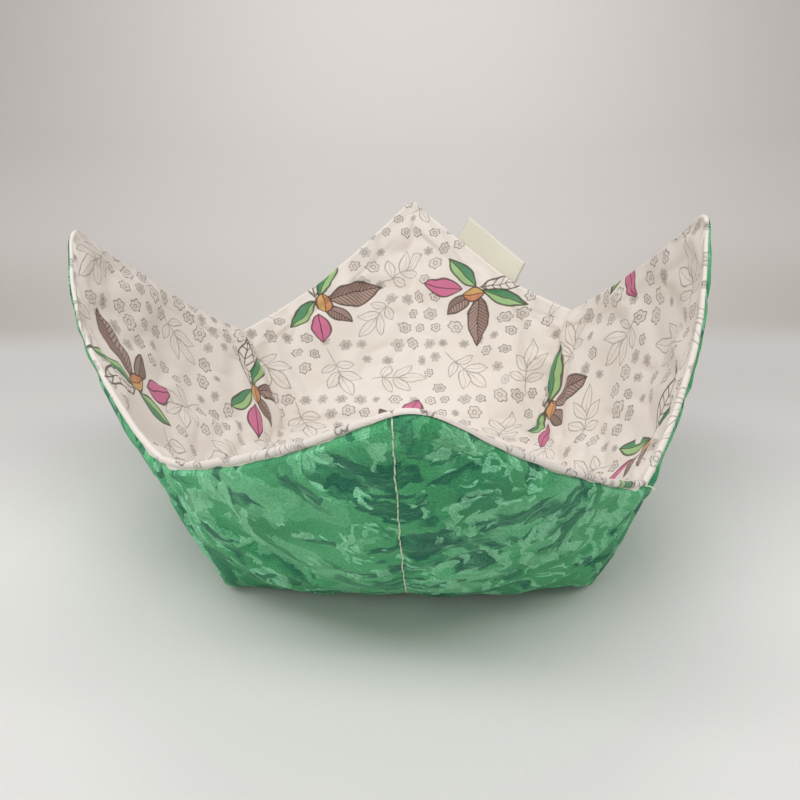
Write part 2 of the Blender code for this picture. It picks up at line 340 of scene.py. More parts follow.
LINING_CREASES = (
    Crease(BACK, (-0.058, 0.034), (-0.036, 0.010), 0.0050, 0.0012),
    Crease(BACK, (0.056, 0.030), (0.040, 0.004), 0.0040, 0.0009),
    Crease(RIGHT, (0.052, 0.040), (0.030, 0.014), 0.0055, 0.0013),
    Crease(RIGHT, (0.034, 0.050), (0.014, 0.020), 0.0070, -0.0010),
    Crease(RIGHT, (-0.058, 0.040), (-0.030, 0.024), 0.0030, 0.0009),
    Crease(RIGHT, (-0.056, 0.034), (-0.024, 0.012), 0.0024, -0.0008),
    Crease(LEFT, (-0.050, 0.036), (-0.030, 0.008), 0.0040, 0.0010),
    Crease(LEFT, (0.052, 0.036), (0.030, 0.020), 0.0045, -0.0009),
    Crease(FRONT, (-0.052, 0.034), (-0.020, 0.020), 0.0050, 0.0009),
    Crease(FRONT, (0.052, 0.034), (0.022, 0.022), 0.0045, 0.0009),
)


def creased(creases, spot):
    """How far the named creases lift the cloth here; each fades out at its two ends."""
    lift = 0
    for crease in creases:
        if crease.petal is not spot.petal:
            continue
        start, end = Vector(crease.start), Vector(crease.end)
        here = Vector((spot.side, spot.up))
        share = (here - start).dot(end - start) / (end - start).length_squared
        if not -0.1 < share < 1.1:
            continue
        across = (here - start.lerp(end, share)).length
        fade = smooth(share, -0.1, 0.2) * smooth(share, 1.1, 0.7)
        lift += crease.height * hump(across, crease.width) * fade
    return lift


def rumpled(place, rumple):
    """The lift of an unevenness here, up to its height either way."""
    seed = Vector((rumple.seed, rumple.seed * 0.7, -rumple.seed))
    return rumple.height * noise.noise(place / rumple.size + seed)


def ridge_lift(distance, ridge):
    return ridge.height * hump(distance - ridge.from_seam, ridge.width)


def cover_relief(spot):
    """How far the outer cotton stands out from its plain form."""
    seam = spot.rim - SEAM_DROP
    full = smooth(spot.quilting, 0, FULL_FROM_QUILTING) * smooth(seam, 0, FULL_FROM_RIM)
    full *= smooth(spot.dart, 0, FULL_FROM_DART)
    lift = COVER_FULLNESS[spot.petal] * full + ridge_lift(spot.quilting, QUILTING_GROOVE)
    if spot.petal is None:
        return min(lift - BASE_FLATTENING, 0) + min(rumpled(spot.place, BASE_DIMPLES), 0)
    stitches = math.sin(spot.up / STITCH_PUCKER_PITCH * 2 * math.pi)
    lift += STITCH_PUCKER_HEIGHT * stitches * hump(spot.quilting, STITCH_PUCKER_WIDTH)
    allowance = smooth(spot.rim, *COVER_ALLOWANCE_END) * smooth(seam, *COVER_ALLOWANCE_START)
    lift += COVER_ALLOWANCE_LIFT * allowance * (1 + rumpled(spot.place, ALLOWANCE_UNEVENNESS))
    lift += rumpled(spot.place, SEAM_PUCKERS) * hump(seam, SEAM_PUCKERS.reach)
    lift += ridge_lift(spot.dart, COVER_DART_GROOVE)
    lift += ridge_lift(spot.dart, COVER_DART_RIDGE)
    near_dart = hump(spot.dart - DART_PUCKERS_FROM_SEAM, DART_PUCKERS.reach)
    lift += rumpled(spot.place, DART_PUCKERS) * near_dart
    inside = smooth(seam, 0, WAVES_FROM_RIM) * smooth(spot.dart, 0, WAVES_FROM_DART)
    waves = TAUT_COVER_WAVES if spot.petal is RIGHT else COVER_WAVES
    lift += rumpled(spot.place, waves) * inside
    lift += rumpled(spot.place, COVER_RIPPLES) * smooth(spot.dart, 0, RIPPLES_FROM_DART)
    creases = creased(COVER_CREASES, spot)
    lift += COVER_CREASE_STRENGTH * creases * smooth(seam, 0, CREASES_FROM_RIM)
    return lift * smooth(spot.up, 0, COVER_FROM_BASE)


def lining_relief(spot):
    """How far the printed cotton stands out into the bowl from its plain form."""
    lift = rumpled(spot.place, LINING_WAVES) + rumpled(spot.place, LINING_RIPPLES)
    if spot.petal is None:
        return lift * LINING_BASE_SHARE
    lift += LINING_ALLOWANCE_LIFT * smooth(spot.rim, *LINING_ALLOWANCE_END)
    lift += rumpled(spot.place, RIM_PUCKERS) * hump(spot.rim, RIM_PUCKERS.reach)
    pleat_side = 1 if spot.petal in (LEFT, RIGHT) else 0
    risen = smooth(spot.up, *LINING_FROM_BASE)
    lift += PLEAT_LIFT * pleat_side * smooth(spot.dart, *PLEAT_END) * risen
    lift += ridge_lift(spot.dart, LINING_DART_GROOVE) * risen
    lift += rumpled(spot.place, PLEAT_PUCKERS) * hump(spot.dart, PLEAT_PUCKERS.reach)
    if spot.petal in (FRONT, RIGHT):
        near = (spot.place - dart_top(FRONT_RIGHT)).length
        level_rucks = rumpled(Vector((spot.place.x, spot.place.y, 3 * spot.place.z)), RUCKS)
        lift += (level_rucks + rumpled(spot.place, FINE_RUCKS)) * hump(near, RUCKS.reach)
    lift += creased(LINING_CREASES, spot)
    return lift * LINING_STRENGTH * smooth(spot.rim, *LINING_FROM_RIM)


def wander(place, spot_rim):
    """How the whole sewn edge strays from its plain form."""
    broad, fine = (
        noise.noise_vector(place / rumple.size + rumple.seed) * rumple.height
        for rumple in (SHAPE_WANDER, RIM_WANDER)
    )
    sway = broad + fine * hump(spot_rim, RIM_WANDER.reach)
    return sway * smooth(place.z, *WANDER_FROM_FLOOR)


# Where the sewing holds the cloth while it settles: the distances at which that starts and is full
HELD_AT_RIM = (0.0050, 0.0020)
HELD_AT_DART = (0.0030, 0.0010)
HELD_AT_QUILTING = (0.0030, 0.0010)
HELD_AT_BASE = (0.0060, 0.0010)
QUILTING_HOLD = 0.7


def held(spot):
    """How firmly the sewing holds the cloth here while it settles, from 0 to 1."""
    hold = max(smooth(spot.rim, *HELD_AT_RIM), smooth(spot.dart, *HELD_AT_DART))
    hold = max(hold, QUILTING_HOLD * smooth(spot.quilting, *HELD_AT_QUILTING))
    if spot.petal is not None:
        hold = max(hold, smooth(spot.up, *HELD_AT_BASE))
    return hold


def pressed(spot):
    """How much thinner the padding is here than in the walls."""
    full = LINING_DEPTH + LINING_THICKNESS
    return (full - EDGE_THICKNESS) * smooth(spot.rim, PRESSED_WIDTH, 0)


def add_grid(bm, columns, rows, spot_of):
    """A grid of cloth: spot_of(column, row) gives a vertex's place, flat place and spot."""
    uv = bm.loops.layers.uv["flat"]
    layers = bm.verts.layers
    made = bmesh.ops.create_grid(bm, x_segments=columns, y_segments=len(rows) - 1, size=1)
    flats = {}
    for vert in made["verts"]:
        column = round((vert.co.x + 1) / 2 * columns)
        row = rows[round((vert.co.y + 1) / 2 * (len(rows) - 1))]
        place, flat, spot = spot_of(column, row)
        vert.co = place + wander(place, spot.rim)
        vert[layers.float["cover"]] = cover_relief(spot)
        vert[layers.float["lining"]] = lining_relief(spot) - pressed(spot)
        vert[layers.float["held"]] = held(spot)
        vert[layers.float["grounded"]] = 1 if spot.petal is None else 0
        flats[vert] = flat
    for face in {face for vert in made["verts"] for face in vert.link_faces}:
        for loop in face.loops:
            loop[uv].uv = flats[loop.vert]


def base_spots(places):
    """Gives the spots of the square base, for add_grid."""
    half = BASE_HALF - FOLD_INSET

    def spot_of(column, row):
        place = Vector((places[column], places[row], 0)) * half
        quilting = min(abs(place.x), abs(place.y))
        spot = Spot(None, 0, 0, CLOTH_SIDE, CLOTH_SIDE, quilting, place)
        return place, (place.x, place.y), spot

    return spot_of


def petal_spots(petal, places):
    """Gives the spots of one petal, for add_grid."""
    columns = petal_columns(petal, places)
    edge = petal_columns(petal, (1,))[0]

    def spot_of(number, row):
        column = columns[number]
        place, distance = column.row(row)
        side, out = column.flat(distance)
        flat = column.side * side + column.out * out
        rim = (column.length - distance) / column.slant
        width = abs(edge.flat(distance / column.length * edge.length)[0])
        dart = (1 - abs(column.across)) * width if distance > 0 else FOLD_INSET - distance
        quilting = abs(side - QUILTING_SWAY[petal] * distance / column.length)
        spot = Spot(petal, side, distance, rim, dart, quilting, place)
        return place, (flat.x, flat.y), spot

    return spot_of


def outer_face(coarseness):
    """The whole cloth's outer face as one open sheet, with the reliefs kept on its vertices."""
    bm = bmesh.new()
    bm.loops.layers.uv.new("flat")
    for name in ("cover", "lining", "held", "grounded"):
        bm.verts.layers.float.new(name)
    columns = COLUMNS // coarseness
    places = [2 * index / columns - 1 for index in range(columns + 1)]
    rows = [*range(0, WALL_TOP_ROW + 1, coarseness), RIM_ROW]
    add_grid(bm, columns, range(columns + 1), base_spots(places))
    for petal in PETALS:
        add_grid(bm, columns, rows, petal_spots(petal, places))
    bmesh.ops.remove_doubles(bm, verts=bm.verts, dist=MERGE_DISTANCE)
    bmesh.ops.recalc_face_normals(bm, faces=bm.faces)
    middle = min(bm.faces, key=lambda face: face.calc_center_median().length)
    if middle.normal.z > 0:
        bmesh.ops.reverse_faces(bm, faces=bm.faces)
    bm.normal_update()
    bm.verts.index_update()
    return bm


def shift_along_normals(bm, amount):
    """Moves each vertex along its normal by amount(vertex)."""
    moves = [vert.normal * amount(vert) for vert in bm.verts]
    for vert, move in zip(bm.verts, moves):
        vert.co += move


# Cloth simulation: each cotton is a little larger than its seams and the padding pushes on it.
# It runs on a sheet twice as coarse, and how far each place moves goes into the relief. Side is 1
# for the outside and -1 for the inside; excess is how much too large the cloth is.
Settling = namedtuple("Settling", "layer side pressure excess furthest_in furthest_out")
SETTLINGS = (
    Settling("cover", 1, 1.5, 0.022, -0.0013, 0.0004),
    Settling("lining", -1, 4.0, 0.035, -0.0011, 0.0017),
)
SETTLING_COARSENESS = 2
SETTLING_FRAMES = 20
CLOTH_BENDING = 0.08
CLOTH_QUALITY = 6


def settle(bm, holds, settling):
    """Runs the cloth on a sheet and gives each vertex's new place."""
    scene = bpy.context.scene
    mesh = bpy.data.meshes.new("settling")
    bm.to_mesh(mesh)
    piece = bpy.data.objects.new("settling", mesh)
    scene.collection.objects.link(piece)
    group = piece.vertex_groups.new(name="held")
    for index, hold in enumerate(holds):
        group.add([index], hold, "REPLACE")
    cloth = piece.modifiers.new("cloth", "CLOTH")
    cloth.settings.quality = CLOTH_QUALITY
    cloth.settings.bending_stiffness = CLOTH_BENDING
    cloth.settings.shrink_min = -settling.excess
    cloth.settings.use_pressure = True
    cloth.settings.uniform_pressure_force = settling.pressure
    cloth.settings.vertex_group_mass = "held"
    cloth.settings.effector_weights.gravity = 0
    cloth.point_cache.frame_start = 1
    cloth.point_cache.frame_end = SETTLING_FRAMES
    for number in range(1, SETTLING_FRAMES + 1):
        scene.frame_set(number)
    moved = piece.evaluated_get(bpy.context.evaluated_depsgraph_get())
    places = [vert.co.copy() for vert in moved.data.vertices]
    scene.frame_set(1)
    bpy.data.objects.remove(piece)
    bpy.data.meshes.remove(mesh)
    return places


def settled_moves(settling):
    """How far simulation lifts each place of one cotton."""
    sheet = outer_face(SETTLING_COARSENESS)
    relief = sheet.verts.layers.float[settling.layer]
    hold, grounded = sheet.verts.layers.float["held"], sheet.verts.layers.float["grounded"]
    surface = BVHTree.FromBMesh(sheet)
    corners = [[vert.index for vert in face.verts] for face in sheet.faces]
    plain = [vert.co.copy() for vert in sheet.verts]
    if settling.side > 0:
        holds = [max(vert[hold], vert[grounded]) for vert in sheet.verts]
        shift_along_normals(sheet, lambda vert: vert[relief])
    else:
        holds = [vert[hold] for vert in sheet.verts]
        shift_along_normals(sheet, lambda vert: -LINING_DEPTH - vert[relief])
        bmesh.ops.reverse_faces(sheet, faces=sheet.faces)
    sheet.normal_update()
    starts = [(vert.co.copy(), vert.normal.copy()) for vert in sheet.verts]
    ends = settle(sheet, holds, settling)
    lifts = [(end - start).dot(normal) for end, (start, normal) in zip(ends, starts)]
    lifts = [min(max(lift, settling.furthest_in), settling.furthest_out) for lift in lifts]
    sheet.free()

    def lift_at(place):
        near, _, face, _ = surface.find_nearest(place)
        shares = poly_3d_calc([plain[index] for index in corners[face]], near)
        return sum(share * lifts[index] for share, index in zip(shares, corners[face]))

    return lift_at


def add_settling(sheet):
    """Adds the simulated moves to both reliefs, smoothed once between neighbours."""
    for settling in SETTLINGS:
        relief = sheet.verts.layers.float[settling.layer]
        lift_at = settled_moves(settling)
        lifts = [lift_at(vert.co) for vert in sheet.verts]
        for vert in sheet.verts:
            ring = [lifts[edge.other_vert(vert).index] for edge in vert.link_edges]
            vert[relief] += lifts[vert.index] / 2 + sum(ring) / len(ring) / 2


RimFrame = namedtuple("RimFrame", "place inward upward below seam")

# Where the seam rolls over the top of the rim, so that the cover shows along it
SeamRise = namedtuple("SeamRise", "place width share")
SEAM_RISES = (
    SeamRise(tip_of(FRONT) + Vector((0.007, 0, -0.003)), 0.020, 0.36),
    SeamRise(rim_point(LEFT, BACK_LEFT, FRONT_LEFT, 0.18), 0.045, 0.74),
    SeamRise(rim_point(RIGHT, FRONT_RIGHT, BACK_RIGHT, -0.12), 0.034, 0.55),
)


# How the seam wavers, as heights and sizes, and how much nearer the top it lies on the right
SEAM_WAVERS = ((0.00016, 0.006), (0.00008, 0.0018))
RIGHT_SEAM_RISE = 0.0003
RIGHT_SEAM_SPAN = (-0.01, 0.03)


def seam_place(place):
    """How far round the edge the seam lies: below 0 is down the outside, above 0 over the top."""
    risen = max(rise.share * hump((place - rise.place).length, rise.width) for rise in SEAM_RISES)
    waver = sum(height * noise.noise(place / size) for height, size in SEAM_WAVERS)
    rise = RIGHT_SEAM_RISE * smooth(place.x, *RIGHT_SEAM_SPAN)
    return -SEAM_DROP + waver + rise + (ROLL_LENGTH * risen + SEAM_DROP * min(3 * risen, 1))


def rim_frames(bm):
    """For each rim vertex: its place, the ways in and up, and the vertex below it."""
    frames = {}
    for vert in bm.verts:
        rim_edges = [edge for edge in vert.link_edges if edge.is_boundary]
        if not rim_edges:
            continue
        ends = [edge.other_vert(vert).co for edge in rim_edges]
        tangent = (ends[0] - ends[1]).normalized()
        upward = tangent.cross(vert.normal).normalized()
        if upward.z < 0:
            upward = -upward
        below = next(edge.other_vert(vert) for edge in vert.link_edges if not edge.is_boundary)
        place = vert.co.copy()
        frames[vert] = RimFrame(place, -vert.normal, upward, below, seam_place(place))
    return frames


def round_edge(rim, below, travel, depth):
    """A point of the rim, this far round it from the outer face and this deep in the cloth."""
    if travel < 0:
        return rim.place.lerp(below, -travel / TURNED_EDGE) + rim.inward * depth
    radius = EDGE_ROLL - depth
    angle = travel / EDGE_ROLL
    level = EDGE_ROLL - radius * math.cos(angle)
    return rim.place + rim.inward * level + rim.upward * (radius * math.sin(angle))


def edge_flats(edge, uv):
    """Where an edge's two ends lie on the flat cloth, and the way out past the rim there."""
    flats = {loop.vert: loop[uv].uv.copy() for loop in edge.link_loops[0].face.loops}
    first, second = (flats[vert] for vert in edge.verts)
    along = second - first
    outward = Vector((along.y, -along.x)).normalized()
    if outward.dot(first + second) < 0:
        outward = -outward
    return {vert: flats[vert] for vert in edge.verts}, outward


def roll_over_rim(bm, frames, steps, course):
    """Extrudes the cloth's open edge round the rim.

    course(frame, share) gives the new place and how far round the rim it lies.
    """
    uv = bm.loops.layers.uv["flat"]
    edges = [edge for edge in bm.edges if edge.is_boundary]
    travels = {vert: course(rim, 0)[1] for vert, rim in frames.items()}
    for step in range(1, steps + 1):
        flats = {frozenset(edge.verts): edge_flats(edge, uv) for edge in edges}
        made = bmesh.ops.extrude_edge_only(bm, edges=edges)["geom"]
        moved, source = {}, {}
        for vert in (item for item in made if isinstance(item, bmesh.types.BMVert)):
            old = next(
                edge.other_vert(vert) for edge in vert.link_edges
                if edge.other_vert(vert) in frames
            )
            vert.co, travels[vert] = course(frames[old], step / steps)
            moved[vert] = frames[old]
            source[vert] = old
        for face in {face for vert in moved for face in vert.link_faces}:
            ends, outward = flats[frozenset(vert for vert in face.verts if vert in frames)]
            for loop in face.loops:
                if loop.vert in ends:
                    loop[uv].uv = ends[loop.vert]
                else:
                    old = source[loop.vert]
                    stretch = abs(travels[loop.vert] - travels[old])
                    loop[uv].uv = ends[old] + outward * stretch
        edges = [item for item in made if isinstance(item, bmesh.types.BMEdge)]
        frames = moved


def add_piece(name, bm, finish, stands_for=()):
    """A piece made from a bmesh, riding on the one body."""
    mesh = bpy.data.meshes.new(name)
    bm.to_mesh(mesh)
    bm.free()
    mesh.shade_smooth()
    mesh.materials.append(finish.material)
    piece = bpy.data.objects.new(name, mesh)
    bpy.context.scene.collection.objects.link(piece)
    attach(piece, "root")
    if stands_for:
        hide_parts(*stands_for)
    return piece


def thicken(piece, thickness, offset):
    """Gives a cloth its thickness, on the side that the offset says."""
    shell = piece.modifiers.new("thickness", "SOLIDIFY")
    shell.thickness = thickness
    shell.offset = offset
    shell.use_even_offset = False


# Finishes
def linear(red, green, blue):
    """A colour written as it looks, 0 to 255, as the shader wants it."""
    shares = (value / 255 for value in (red, green, blue))
    return (*(s / 12.92 if s <= 0.04045 else ((s + 0.055) / 1.055) ** 2.4 for s in shares), 1)


class Value:
    """A number in a finish; sums on it add Math nodes."""

    def __init__(self, finish, socket):
        self.finish = finish
        self.socket = socket

    def math(self, operation, *others):
        values = dict(enumerate((self, *others)))
        return self.finish.add("ShaderNodeMath", {"operation": operation}, values)

    def __add__(self, other):
        return self.math("ADD", other)

    __radd__ = __add__

    def __sub__(self, other):
        return self.math("SUBTRACT", other)

    def __rsub__(self, other):
        return (self * -1) + other

    def __mul__(self, other):
        return self.math("MULTIPLY", other)

    __rmul__ = __mul__

    def __truediv__(self, other):
        return self.math("DIVIDE", other)

    def __pow__(self, other):
        return self.math("POWER", other)

    def __abs__(self):
        return self.math("ABSOLUTE")

    def floor(self):
        return self.math("FLOOR")

    def wrapped(self, period):
        """The remainder from 0 to period, below zero as well."""
        return self.math("FLOORED_MODULO", period)

    def sine(self):
        return self.math("SINE")

    def cosine(self):
        return self.math("COSINE")

    def most(self, other):
        return self.math("MAXIMUM", other)

    def rise(self, low, high):
        """0 at low and 1 at high, with soft ends."""
        settings = {"interpolation_type": "SMOOTHSTEP"}
        values = {"Value": self, "From Min": low, "From Max": high}
        return self.finish.add("ShaderNodeMapRange", settings, values)


class Finish:
    """A material built up from nodes."""

    def __init__(self, name, roughness, sheen=0.0):
        self.material = bpy.data.materials.new(name)
        self.material.use_nodes = True
        self.tree = self.material.node_tree
        self.shader = self.tree.nodes["Principled BSDF"]
        self.shader.inputs["Roughness"].default_value = roughness
        self.shader.inputs["Specular IOR Level"].default_value = 0.25
        self.shader.inputs["Sheen Weight"].default_value = sheen
        self.shader.inputs["Sheen Roughness"].default_value = 0.5

    def feed(self, socket, value):
        if isinstance(value, Value):
            self.tree.links.new(value.socket, socket)
        else:
            socket.default_value = value

    def add(self, kind, settings, values, output=0):
        """A node of a type, with its settings made first and then its sockets."""
        node = self.tree.nodes.new(kind)
        for name, setting in settings.items():
            if name == "stops":
                self.set_stops(node.color_ramp, setting)
            else:
                setattr(node, name, setting)
        for name, value in values.items():
            self.feed(node.inputs[name], value)
        return Value(self, node.outputs[output])

    @staticmethod
    def set_stops(ramp, stops):
        for _ in stops[2:]:
            ramp.elements.new(0.5)
        for element, (position, colour) in zip(ramp.elements, stops):
            element.position = position
            element.color = colour

    def flat_cloth(self):
        """The place on the flat cloth, in metres, as a vector."""
        return self.add("ShaderNodeUVMap", {"uv_map": "flat"}, {})

    def parts(self, vector):
        """A vector's first two numbers."""
        node = self.tree.nodes.new("ShaderNodeSeparateXYZ")
        self.feed(node.inputs[0], vector)
        return Value(self, node.outputs[0]), Value(self, node.outputs[1])

    def vector(self, x, y, z=0.0):
        return self.add("ShaderNodeCombineXYZ", {}, {0: x, 1: y, 2: z})

    def noise(self, vector, scale, detail=2.0, rough=0.5):
        values = {"Vector": vector, "Scale": scale, "Detail": detail, "Roughness": rough}
        return self.add("ShaderNodeTexNoise", {"noise_dimensions": "3D"}, values)

    def random(self, x, y, seed):
        """A number from 0 to 1 that depends on two whole numbers."""
        vector = self.vector(x, y, seed)
        return self.add("ShaderNodeTexWhiteNoise", {"noise_dimensions": "3D"}, {"Vector": vector})

    def mix(self, share, first, second):
        """The first colour at 0, the second at 1."""
        return self.add(
            "ShaderNodeMix", {"data_type": "RGBA"}, {0: share, 6: first, 7: second}, output=2
        )

    def times(self, colour, shade):
        """A colour made darker or lighter by a number."""
        if not isinstance(colour, Value):
            colour = colour[:3]
        return self.add(
            "ShaderNodeVectorMath", {"operation": "SCALE"}, {"Vector": colour, "Scale": shade}
        )

    def colour(self, value):
        self.feed(self.shader.inputs["Base Color"], value)

    def bump(self, height, distance):
        values = {"Height": height, "Distance": distance}
        self.feed(self.shader.inputs["Normal"], self.add("ShaderNodeBump", {}, values))


MILLIMETRES = 1000
COVER_THREAD_PITCH = 0.75
LINING_THREAD_PITCH = 0.55


def turned(x, y, angle):
    """The same place after turning by an angle, a number or a Value in radians."""
    if isinstance(angle, Value):
        cosine, sine = angle.cosine(), angle.sine()
    else:
        cosine, sine = math.cos(angle), math.sin(angle)
    return x * cosine + y * sine, y * cosine - x * sine


Motif = namedtuple("Motif", "u v first second middle_x middle_y")


def scattered(finish, x, y, pitch, stray, seed):
    """The motif of the staggered lattice cell that a place lies in, in millimetres.

    u and v run from the motif's own middle, turned at random. The motif strays from the cell's
    middle by up to stray each way, so one that reaches no further than pitch / 2 - stray is
    never cut.
    """
    row = (y / pitch).floor()
    shifted = x + (row.wrapped(2) * 0.5) * pitch
    column = (shifted / pitch).floor()
    first = finish.random(column, row, seed)
    second = finish.random(column, row, seed + 0.5)
    cell_x = shifted.wrapped(pitch) - pitch / 2 - (first - 0.5) * (2 * stray)
    cell_y = y.wrapped(pitch) - pitch / 2 - (second - 0.5) * (2 * stray)
    turn = finish.random(column, row, seed + 0.25) * (2 * math.pi)
    u, v = turned(cell_x, cell_y, turn)
    return Motif(u, v, first, second, x - cell_x, y - cell_y)


def reach_of(motif):
    """How far a place is from its motif's middle."""
    return (motif.u * motif.u + motif.v * motif.v) ** 0.5


def leaf(x, y, length, width):
    """How far inside a pointed leaf a place is; it runs from the origin along x."""
    share = x * (2 / length) - 1
    return (1 - share * share) * (width / 2) - abs(y)


def line(depth, thickness):
    """1 on a drawn line where depth is 0."""
    return 1 - abs(depth).rise(thickness * 0.5, thickness)


def fill(depth):
    """1 inside a drawn shape, where depth is above 0."""
    return depth.rise(-0.05, 0.15)


def weave(finish, x, y, pitch):
    """Warp over weft: a height from 0 to 1 at a thread pitch in millimetres."""
    across = (x * (2 * math.pi / pitch)).sine()
    down = (y * (2 * math.pi / pitch)).sine()
    return (across * down) * 0.5 + 0.5


# The cover's dye marks: the angle that they lie at, their length and width in millimetres, the
# share of the cloth that they take, their tint and how strongly it covers
Mark = namedtuple("Mark", "angle length width share tint cover seed")
MARKS = (
    Mark(1.10, 17.0, 11.0, 0.30, linear(44, 130, 88), 0.66, 2.3),
    Mark(-0.75, 15.0, 8.0, 0.24, linear(103, 183, 132), 0.62, 4.6),
    Mark(0.20, 10.0, 6.0, 0.19, linear(27, 103, 78), 0.70, 7.1),
    Mark(0.80, 14.0, 7.0, 0.22, linear(120, 196, 146), 0.62, 9.8),
    Mark(-0.30, 6.5, 3.6, 0.18, linear(19, 91, 74), 0.85, 13.5),
    Mark(1.40, 5.0, 2.6, 0.15, linear(133, 206, 158), 0.80, 17.2),
    Mark(0.40, 2.4, 1.5, 0.09, linear(142, 218, 174), 0.85, 21.7),
)


def cover_cotton():
    """Green cotton dyed in ragged, leaf-like marks, light and dark over a mid green."""
    finish = Finish("cover_cotton", roughness=0.80, sheen=0.10)
    cloth = finish.flat_cloth()
    raw_x, raw_y = finish.parts(cloth)
    x, y = raw_x * MILLIMETRES, raw_y * MILLIMETRES
    fine = finish.noise(cloth, 420, 3.0, 0.6)
    bend_x = x + (finish.noise(cloth, 60, 3.0) - 0.5) * 20 + (fine - 0.5) * 2.4
    bend_y = y + (finish.noise(finish.vector(raw_y, raw_x, 0.3), 60, 3.0) - 0.5) * 20
    bend_y = bend_y + (finish.noise(cloth, 330, 2.0) - 0.5) * 2.4
    colour = finish.add("ShaderNodeValToRGB", {"stops": (
        (0.36, linear(57, 144, 94)),
        (0.50, linear(72, 161, 106)),
        (0.64, linear(87, 175, 120)),
    )}, {0: finish.noise(cloth, 38, 3.0, 0.55)})
    for mark in MARKS:
        along, across = turned(bend_x, bend_y, mark.angle)
        teeth = finish.noise(finish.vector(along / 14, across / 1.1, mark.seed), 1.0, 1.0)
        along = along + (teeth - 0.5) * (mark.length * 0.55)
        cell = finish.vector(along / mark.length, across / mark.width, mark.seed)
        chance, _ = finish.parts(finish.add(
            "ShaderNodeTexVoronoi", {"feature": "F1"}, {"Vector": cell, "Scale": 1.0}, output=1
        ))
        crowd = finish.noise(finish.vector(x / 30, y / 30, mark.seed), 1.0, 1.0) - 0.5
        taken = 1 - (crowd * 1.2 + mark.share)
        covered = (chance - taken).rise(-0.01, 0.03)
        streaks = finish.noise(finish.vector(along / 5, across / 1.0, mark.seed + 5), 1.0, 2.0)
        ink = streaks.rise(0.30, 0.60) * 0.5 + 0.5
        colour = finish.mix(covered * ink * mark.cover, colour, mark.tint)

    threads = weave(finish, x, y, COVER_THREAD_PITCH)
    slub = finish.noise(finish.vector(x / 7, y / 0.6, 0.0), 1.0, 1.0)
    speckle = finish.noise(cloth, 1900, 1.0).rise(0.25, 0.75)
    shade = threads * 0.34 + speckle * 0.46 + fine * 0.20 + slub * 0.18 + 0.53
    finish.colour(finish.times(colour, shade))
    finish.bump(threads * 0.6 + speckle * 0.6 + slub * 0.3, 0.00018)
    return finish


# The lining's print, a generic garden one: where each leaf of a sprig starts, its angle in
# degrees, its length and width in millimetres, its two tints and how closely it is lined
SprigLeaf = namedtuple("SprigLeaf", "x y angle length width upper lower rib_pitch")
PAPER = linear(236, 228, 219)
INK = linear(74, 60, 54)
BROWN = linear(150, 118, 108)
DUSTY_BROWN = linear(176, 146, 134)
DEEP_GREEN = linear(62, 140, 92)
LIGHT_GREEN = linear(156, 198, 130)
PINK = linear(208, 104, 146)
TERRACOTTA = linear(206, 140, 98)
GOLD = linear(212, 164, 92)
PENCIL = linear(150, 143, 135)
SPRIG = (
    SprigLeaf(-1, -1, 196, 19, 6.0, PAPER, PAPER, 2.6),
    SprigLeaf(-2, 0, 168, 18, 5.4, DEEP_GREEN, LIGHT_GREEN, 0),
    SprigLeaf(2, 2, 62, 11, 5.6, DUSTY_BROWN, BROWN, 1.1),
    SprigLeaf(-1, 2, 108, 20, 7.6, BROWN, DUSTY_BROWN, 1.3),
    SprigLeaf(1, -1, 330, 14, 5.2, LIGHT_GREEN, DEEP_GREEN, 0),
    SprigLeaf(6, 1, 12, 12, 6.6, PINK, PINK, 0),
    SprigLeaf(-3, 1, 15, 8, 5.4, TERRACOTTA, GOLD, 0),
)
PRINT_SHIFT = (45.0, -14.0)
SPRIG_SCALE = 1.25
SPRIG_PITCH = 72.0
SPRIG_REACH = 25.0
SPRIG_STRAY = 6.0
FROND_PITCH = 28.0
FROND_REACH = 12.0
FROND_STRAY = 1.8
DAISY_PITCH = 7.6
DAISY_STRAY = 0.7


def painted_sprig(finish, colour, sprig):
    """The coloured sprig's leaves, each painted over the one before and drawn round in ink."""
    for piece in SPRIG:
        angle = math.radians(piece.angle)
        grown_u, grown_v = sprig.u / SPRIG_SCALE, sprig.v / SPRIG_SCALE
        along, across = turned(grown_u - piece.x, grown_v - piece.y, angle)
        inside = leaf(along, across, piece.length, piece.width)
        body = fill(inside)
        tint = finish.mix(across.rise(-0.6, 0.6), piece.lower, piece.upper)
        if piece.rib_pitch:
            slanted = (along - abs(across) * 0.8).wrapped(piece.rib_pitch) - piece.rib_pitch / 2
            ribs = line(slanted, 0.34) * 0.75
            tint = finish.mix(ribs, tint, INK)
        colour = finish.mix(body * 0.92, colour, tint)
        drawn = line(inside, 0.42).most(line(across, 0.24) * body)
        colour = finish.mix(drawn * 0.85, colour, INK)
    return colour


def pencil_frond(frond):
    """Five leaves from one stalk, in outline."""
    drawn = None
    for start, angle, length, width in ((-2, 0, 13, 5.0), (-4, 42, 11, 4.4), (-8, 66, 8, 3.6)):
        side = frond.v if angle == 0 else abs(frond.v)
        along, across = turned(frond.u - start, side, math.radians(angle))
        inside = leaf(along, across, length, width)
        lines = line(inside, 0.30).most(line(across, 0.20) * fill(inside) * 0.6)
        drawn = lines if drawn is None else drawn.most(lines)
    stalk = line(frond.v, 0.28) * line(frond.u + 6, 12)
    return drawn.most(stalk)


